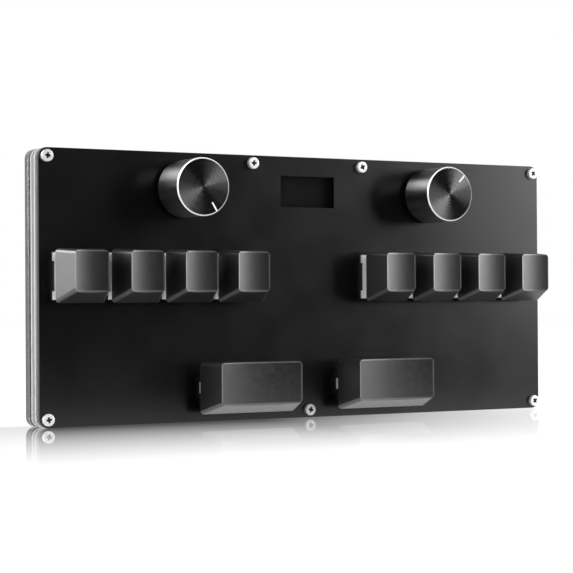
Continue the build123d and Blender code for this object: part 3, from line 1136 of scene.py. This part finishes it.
@dataclass
class Screws:
    """Pan-head screws with cross recesses, on both faces of the case."""

    head_radius: float = 2.0 * MM
    head_height: float = 1.4 * MM
    shank_radius: float = 0.95 * MM
    crown: float = 0.2 * MM
    broken_edge: float = 0.04 * MM
    recess_length: float = 2.0 * MM
    recess_width: float = 0.75 * MM
    recess_depth: float = 1.0 * MM
    recess_taper: float = 0.6
    overcut: float = 0.05 * MM
    standoff_half: float = 1.6 * MM
    inner_column: float = 22.4 * MM
    turns: tuple[float, ...] = (8.0, 38.0, 2.0, 62.0, 80.0, 14.0, 50.0)

    def model(self, length: float) -> Piece:
        """Model one screw at the origin, its head's seat at Y = 0 and its crown towards -Y.

        Args:
            length: From the crown to the tip.

        Returns:
            The screw.
        """
        top = -self.head_height
        piece = rod((0.0, top / 2, 0.0), self.head_radius, self.head_height, sides=48)
        round_where(piece, lambda a, b: max(a.y, b.y) < top + NEAR, self.crown, 5)
        with editing(piece, Pick.FACES):
            pick_back(piece)
            bpy.ops.mesh.inset(thickness=self.head_radius - self.shank_radius)
            extrude(length - self.head_height)
        middle = (0.0, top + self.recess_depth / 2 - self.overcut, 0.0)
        arm = (self.recess_length, self.recess_depth, self.recess_width)
        for size in (arm, arm[::-1]):
            tool = block(middle, size)
            taper_back(tool, self.recess_taper, self.recess_taper, middle)
            merge(piece, tool, Merge.CUT)
        soften(piece, self.broken_edge, segments=1, angle=40.0)
        shade(piece)
        self.mark_recess(piece)
        return piece

    def mark_recess(self, piece: Piece) -> None:
        """Give a screw its two finishes, one of them a dark painted shade in its cross recess.

        Args:
            piece: The screw at the origin.
        """
        for finish in (SCREW_STEEL, SCREW_RECESS_SHADE):
            piece.data.materials.append(finish.material())
        top = -self.head_height
        reach = self.recess_length / 2 + self.overcut
        for polygon in piece.data.polygons:
            middle = polygon.center
            sunk = top + 2 * NEAR < middle.y < top + self.recess_depth
            inside = math.hypot(middle.x, middle.z) < reach
            # Index 1 is the painted shade in the cross recess.
            polygon.material_index = 1 if sunk and inside else 0

    def places(self) -> list[Span]:
        """Work out the screws' places across the case from the model's standoffs.

        Returns:
            Their places along X and Z.
        """
        low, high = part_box("standoffs")
        inset = (high.z - low.z) / 2
        middle = (high.z + low.z) / 2
        columns = (high.x - self.standoff_half / math.cos(math.radians(30)), self.inner_column)
        top, bottom = middle + inset - self.standoff_half, middle - inset + self.standoff_half
        rows = [(side * column, top) for column in columns for side in (-1, 1)]
        return rows + [(-columns[0], bottom), (0.0, bottom), (columns[0], bottom)]

    def build(self) -> None:
        """Model the two sets of screws."""
        for facing in Facing:
            node = f"{facing.value}_screws"
            low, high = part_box(node)
            master = self.model(high.y - low.y)
            seat, about = low.y + self.head_height, 0.0
            if facing is Facing.REAR:
                seat, about = high.y - self.head_height, 180.0
            row = []
            for (x, z), turn in zip(self.places(), self.turns):
                screw = copied(master, "screw", (0.0, 0.0, 0.0), turn)
                row.append(copied(screw, "screw", (x, seat, z), about, "Z"))
                remove(screw)
            remove(master)
            screws = joined(row, f"{node}_set")
            mount(screws, "root", node)


@dataclass
class Case:
    """The black panel, the clear frame and cover behind it, and the feet."""

    polish: float = 0.12 * MM
    drawn_corner: float = 4.5 * MM
    cut_corner: float = 3.2 * MM
    outline_depth: float = 0.3 * MM
    foot_radius: float = 4.0 * MM
    foot_edge: float = 0.5 * MM
    foot_taper: float = 0.91
    # Bands of painted light and shade along the edges, by depth.
    frame_layers: tuple[tuple[float, ClearSheet], ...] = (
        (1.5 * MM, COVER_SHADED_BAND),
        (2.2 * MM, FRAME_LIT_BAND),
        (4.4 * MM, FRAME_SHADED_BAND),
        (5.2 * MM, FRAME_LIT_BAND),
        (6.5 * MM, SEAM_SHADE_BAND),
        (7.3 * MM, COVER_SHADED_BAND),
    )
    cover_layers: tuple[tuple[float, ClearSheet], ...] = (
        (2.5 * MM, COVER_SHADED_BAND),
        (3.2 * MM, SEAM_SHADE_BAND),
    )

    def on_corner(self, point: Vector, x: float, z: float) -> bool:
        """Tell whether a point is on the rounded outline at a corner of a sheet.

        Args:
            point: The point.
            x: The corner's place along X.
            z: The corner's place along Z.

        Returns:
            Whether it is there.
        """
        along_x = self.drawn_corner - abs(point.x - x)
        along_z = self.drawn_corner - abs(point.z - z)
        reach = self.drawn_corner - self.outline_depth
        return min(along_x, along_z) > -NEAR and math.hypot(along_x, along_z) > reach

    def sheet(self, node: str, name: str, edge: float = 0.0) -> Piece:
        """Copy a sheet of the case, its corners cut to their tighter radius.

        Args:
            node: The sheet's node in the model.
            name: The copy's name.
            edge: How far its sharp edges are broken.

        Returns:
            The copy.
        """
        piece = smoothed(node, name, edge)
        low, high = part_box("front_panel")
        share = self.cut_corner / self.drawn_corner
        for x in (low.x, high.x):
            for z in (low.z, high.z):
                with editing(piece, Pick.EDGES):
                    pick_edges(
                        piece, lambda a, b: self.on_corner(a, x, z) and self.on_corner(b, x, z)
                    )
                    resize_across(share, share, (x, 0.0, z))
        return piece

    def panel(self) -> None:
        """Dress the front panel."""
        piece = self.sheet("front_panel", "panel_sheet")
        dress(piece, "black_panel", PANEL_BLACK)
        mount(piece, "root", "front_panel")

    def clear_sheet(
        self, node: str, name: str, layers: tuple[tuple[float, ClearSheet], ...]
    ) -> None:
        """Give a clear sheet's edges bands of painted light and painted shade, for the light that
        runs inside it.

        Args:
            node: The sheet's node in the model.
            name: The piece's name.
            layers: How deep each band of painted light and shade on its edges ends, and the band's
                finish.
        """
        piece = self.sheet(node, name, self.polish)
        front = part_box(node)[0].y
        with editing(piece, Pick.FACES):
            for depth, _ in layers[:-1]:
                score((0.0, front + depth, 0.0), (0.0, 1.0, 0.0))
        finishes = (CLEAR, FRAME_LIT_BAND, FRAME_SHADED_BAND, COVER_SHADED_BAND, SEAM_SHADE_BAND)
        dress(piece, "clear_acrylic", *finishes)
        # Each side face takes the painted band of its depth.
        for polygon in piece.data.polygons:
            if abs(polygon.normal.y) < 1 - SQUARELY:
                depth = polygon.center.y - front
                band = next(finish for end, finish in layers if depth <= end + NEAR)
                polygon.material_index = finishes.index(band)
        mount(piece, "root", node)

    def feet(self) -> None:
        """Model the rubber feet, a little rounded where they touch."""
        low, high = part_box("rubber_feet")
        middle = (low.y + high.y) / 2
        feet = []
        for x in (low.x + self.foot_radius, high.x - self.foot_radius):
            for z in (low.z + self.foot_radius, high.z - self.foot_radius):
                foot = rod((x, middle, z), self.foot_radius, high.y - low.y, sides=64)
                taper_back(foot, self.foot_taper, self.foot_taper, (x, high.y, z))
                round_where(foot, lambda a, b: min(a.y, b.y) > high.y - NEAR, self.foot_edge, 4)
                feet.append(foot)
        piece = joined(feet, "feet_set")
        shade(piece)
        dress(piece, "foot_rubber", FOOT_RUBBER)
        mount(piece, "root", "rubber_feet")

    def build(self) -> None:
        """Dress the sheets and model the feet."""
        self.panel()
        self.clear_sheet("case_frame", "clear_frame", self.frame_layers)
        self.clear_sheet("rear_cover", "clear_cover", self.cover_layers)
        self.feet()


# ------------------------ what stays as the model has it


@dataclass
class Fittings:
    """Nodes of the model whose shape stays, and the solder joints on the board."""

    joint_radius: float = 0.95 * MM
    joint_height: float = 0.9 * MM
    joint_tip: Span = (0.45, 0.3)
    joint_edge: float = 0.12 * MM
    pins: tuple[Span, ...] = ((-3.81 * MM, 2.54 * MM), (2.54 * MM, 5.08 * MM))

    def finishes(self) -> dict[Finish, tuple[str, ...]]:
        """List the nodes that have each finish.

        Returns:
            The nodes' names by finish.
        """
        housings = ("switch_bases", "switch_covers", "stabilizer_housings")
        return {
            SWITCH_WHITE: (*housings, *both("stabilizer_sliders")),
            STEM_DARK: (*STEMS, *both("encoder_rotor"), *both("knob_insert")),
            WIRE_STEEL: ("switch_springs", *both("stabilizer_wire")),
            SOCKET_STEEL: ("usb_socket_shell", "encoder_cases", *both("encoder_shaft")),
            SCREW_STEEL: ("standoffs",),
            PIN_GOLD: ("switch_pins",),
            CHIP_BLACK: ("controller_chip", "board_diodes", "usb_socket_tongue"),
            GLASS_DARK: ("display_glass",),
            BOARD_BLACK: ("circuit_board",),
        }

    def build(self) -> None:
        """Dress the nodes and add the solder joints."""
        for finish, nodes in self.finishes().items():
            for node in nodes:
                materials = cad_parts[node].data.materials
                materials.clear()
                materials.append(finish.material())
                LOG.info("%s is dressed in %s", node, finish.name)
        self.solder()

    def solder(self) -> None:
        """Model the solder joints round the switch pins, on the back of the board."""
        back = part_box("circuit_board")[1].y
        height = self.joint_height
        master = rod((0.0, height / 2, 0.0), self.joint_radius, height, sides=20)
        taper_back(master, *self.joint_tip, (0.0, height, 0.0))
        round_where(master, lambda a, b: min(a.y, b.y) > height - NEAR, self.joint_edge, 2)
        joints = []
        for stem in STEMS:
            centre = centre_of(stem)
            for x, z in self.pins:
                joints.append(copied(master, "joint", (centre.x + x, back, centre.z + z)))
        remove(master)
        piece = joined(joints, "solder_joints")
        shade(piece, 40.0)
        dress(piece, "screw_steel", SOLDER)
        mount(piece, "root")


# ------------------------ studio


KEYPAD_MIDDLE = (0.0, 0.0, 0.05)
KNOB_MIDDLE = (0.0, 0.0, 0.08)


@dataclass(frozen=True)
class Softbox:
    """A rectangular softbox, its face turned to a point and unseen by the camera.

    Its glow is how bright its face is, where 1 is white. A reach says how it treats the knobs.
    """

    name: str
    place: Point
    size: Span
    glow: float
    target: Point = KEYPAD_MIDDLE
    reach: Reach | None = None

    def build(self) -> None:
        """Set up the lamp."""
        data = bpy.data.lights.new(self.name, "AREA")
        data.shape = "RECTANGLE"
        data.size, data.size_y = self.size
        data.energy = self.glow * math.pi * self.size[0] * self.size[1]
        lamp = bpy.data.objects.new(self.name, data)
        bpy.context.scene.collection.objects.link(lamp)
        turn = (Vector(self.target) - Vector(self.place)).to_track_quat("-Z", "Y")
        lamp.matrix_world = Matrix.Translation(self.place) @ turn.to_matrix().to_4x4()
        lamp.visible_camera = False

    def flag(self, pieces: Iterable[Piece]) -> None:
        """Keep the light on some pieces alone, or off them, as flags on stands would.

        Args:
            pieces: The pieces.
        """
        group = bpy.data.collections.new(f"{self.name}_pieces")
        bpy.data.objects[self.name].light_linking.receiver_collection = group
        for piece in pieces:
            group.objects.link(piece)
        for entry in group.collection_objects:
            entry.light_linking.link_state = self.reach.value


@dataclass
class Floor:
    """A white floor, polished in front of the keypad and worn matt further away.

    Each stretch is where a share of the polish, or what it mirrors, starts and ends.
    """

    size: float = 8.0
    colour: Colour = (0.8, 0.8, 0.8)
    glow: float = 1.15
    glow_share: float = 0.8
    roughness: float = 0.03
    falling: float = 1.25
    ahead: Span = (-165 * MM, -6 * MM)
    behind: Span = (8 * MM, 12 * MM)
    rightwards: Span = (-20 * MM, 100 * MM)
    right_shares: Span = (0.95, 0.17)
    leftmost: Span = (-240 * MM, -175 * MM)
    grazing: Span = (0.7, 0.88)
    mirrored: Span = (-140 * MM, -45 * MM)
    mirrored_glow: Span = (0.05, 1.0)

    def polish(self, shader: Shader, across: Socket, depth: Socket, seen: Socket) -> Socket:
        """Work out how strongly the floor mirrors.

        Args:
            shader: The floor's material.
            across: The place along X.
            depth: The place along Y.
            seen: 1 where the camera sees it, or else 0.

        Returns:
            The socket of the mirror's share.
        """
        facing = shader.add("LayerWeight").outputs["Facing"]
        return shader.product(
            shader.math("POWER", shader.spread(depth, 0.0, 1.0, *self.ahead), self.falling),
            shader.spread(depth, 1.0, 0.0, *self.behind),
            shader.spread(across, *self.right_shares, *self.rightwards),
            shader.spread(across, 0.0, 1.0, *self.leftmost),
            shader.spread(facing, 0.0, 1.0, *self.grazing),
            seen,
        )

    def build(self) -> None:
        """Lay the floor."""
        deselect()
        bpy.ops.mesh.primitive_plane_add(size=self.size, location=(0.0, 0.0, 0.0))
        floor = settle(bpy.context.object, "floor")
        shader = Shader("floor_white")
        shader.tree.nodes.remove(shader.surface)
        place = shader.add("SeparateXYZ", {0: shader.place}).outputs
        rays = shader.add("LightPath").outputs
        seen = rays["Is Camera Ray"]
        lit = shader.math("MAXIMUM", seen, rays["Is Transmission Ray"])
        white = shader.mix(
            shader.product(lit, self.glow_share),
            shader.add("BsdfDiffuse", {"Color": (*self.colour, 1.0)}).outputs[0],
            shader.add("Emission", {"Strength": self.glow}).outputs[0],
        )
        mirrored = shader.spread(place["Y"], *self.mirrored_glow, *self.mirrored)
        gloss = shader.add("Emission", {"Strength": mirrored}).outputs[0]
        whole = shader.mix(
            self.polish(shader, place["X"], place["Y"], seen),
            shader.mix(rays["Is Glossy Ray"], white, gloss),
            shader.add("BsdfGlossy", {"Roughness": self.roughness}).outputs[0],
        )
        shader.fill(shader.tree.nodes["Material Output"], {"Surface": whole})
        floor.data.materials.append(shader.material)


@dataclass(frozen=True)
class DarkPart:
    """A dark part of the room: where it lies, and how its gloss fades from 1 towards it."""

    towards: Point
    fade: Span
    dimmest: float


@dataclass
class Studio:
    """The floor, the light and the camera."""

    eye: Point = (-337.79 * MM, -564.73 * MM, 40.42 * MM)
    yaw: float = 30.4745
    pitch: float = 0.5184
    roll: float = -0.3671
    focal_pixels: float = 1844.97
    image_pixels: float = 573.0
    sensor: float = 36.0
    clip: Span = (0.01, 20.0)
    surround: float = 0.45
    dark_parts: tuple[DarkPart, ...] = (
        DarkPart((0.25, -0.97, 0.0), (0.1, 0.7), 0.03),
        DarkPart((0.0, 0.0, 1.0), (0.45, 0.8), 0.1),
    )
    softboxes: tuple[Softbox, ...] = (
        Softbox("softbox_right", (0.855, -0.692, 0.48), (0.45, 0.98), 5.5, reach=Reach.MISSED),
        Softbox("softbox_side", (1.05, -0.32, 0.48), (0.5, 0.98), 8.5, reach=Reach.MISSED),
        Softbox("softbox_left", (-0.95, 0.44, 0.55), (0.8, 0.95), 8.0, (-0.05, 0.0, 0.05)),
        Softbox(
            "softbox_knobs", (2.306, -1.738, 0.89), (0.97, 0.8), 7.4, KNOB_MIDDLE, Reach.ALONE
        ),
        Softbox(
            "softbox_knobs_tall", (2.185, -1.626, 1.34), (1.26, 2.77), 2.6, KNOB_MIDDLE, Reach.ALONE
        ),
        Softbox(
            "softbox_above",
            (-0.42, -0.15, 0.47),
            (0.5, 0.38),
            7.6,
            (-0.02, -0.02, 0.07),
            Reach.ALONE,
        ),
    )

    def camera(self) -> None:
        """Set up the camera."""
        yaw, pitch, roll = (math.radians(angle) for angle in (self.yaw, self.pitch, self.roll))
        ahead = Vector((math.sin(yaw), math.cos(yaw), 0.0))
        right = Vector((math.cos(yaw), -math.sin(yaw), 0.0))
        up = Vector((0.0, 0.0, 1.0))
        look = ahead * math.cos(pitch) + up * math.sin(pitch)
        rise = up * math.cos(pitch) - ahead * math.sin(pitch)
        across = right * math.cos(roll) + rise * math.sin(roll)
        upright = rise * math.cos(roll) - right * math.sin(roll)
        data = bpy.data.cameras.new("camera")
        data.sensor_fit = "HORIZONTAL"
        data.sensor_width = self.sensor
        data.lens = self.sensor * self.focal_pixels / self.image_pixels
        data.clip_start, data.clip_end = self.clip
        camera = bpy.data.objects.new("camera", data)
        bpy.context.scene.collection.objects.link(camera)
        turn = Matrix((across, upright, -look)).transposed().to_4x4()
        camera.matrix_world = Matrix.Translation(self.eye) @ turn
        bpy.context.scene.camera = camera

    def world(self) -> None:
        """Set up a white surround that is dim in front and overhead, where the room is dark."""
        world = bpy.data.worlds.new("surround")
        bpy.context.scene.world = world
        world.use_nodes = True
        world.node_tree.nodes.clear()
        nodes = Nodes(world.node_tree)
        rays = nodes.add("LightPath").outputs
        way = nodes.add("TexCoord").outputs["Generated"]
        shares = []
        for part in self.dark_parts:
            towards = Vector(part.towards).normalized()
            facing = nodes.vector("DOT_PRODUCT", way, towards).outputs["Value"]
            shares.append(nodes.spread(facing, 1.0, part.dimmest, *part.fade))
        gloss, soft, white = (
            nodes.add("Background", {"Color": WHITE, "Strength": strength}).outputs[0]
            for strength in (nodes.product(*shares), self.surround, 1.0)
        )
        unseen = nodes.mix(rays["Is Glossy Ray"], soft, gloss)
        seen = nodes.math("MAXIMUM", rays["Is Camera Ray"], rays["Is Transmission Ray"])
        nodes.add("OutputWorld", {"Surface": nodes.mix(seen, unseen, white)})

    def flag_knobs(self) -> None:
        """Keep each softbox that has a reach on the knobs' bodies alone, or off them."""
        bodies = [bpy.data.objects[f"{node}_body"] for node in both("knob")]
        for softbox in self.softboxes:
            if softbox.reach:
                softbox.flag(bodies)

    def build(self) -> None:
        """Set up the whole studio."""
        self.camera()
        for softbox in self.softboxes:
            softbox.build()
        self.world()
        Floor().build()
        bpy.context.scene.view_settings.view_transform = "Standard"


def main() -> None:
    """Build the studio and every sub-assembly, and note the sizes."""
    logging.basicConfig(level=logging.INFO, format="%(name)s: %(message)s")
    studio = Studio()
    for part in (studio, Case(), Screws(), Keys(), Knobs(), Fittings()):
        LOG.info("building %s", type(part).__name__)
        part.build()
    studio.flag_knobs()


if __name__ == "__main__":
    main()
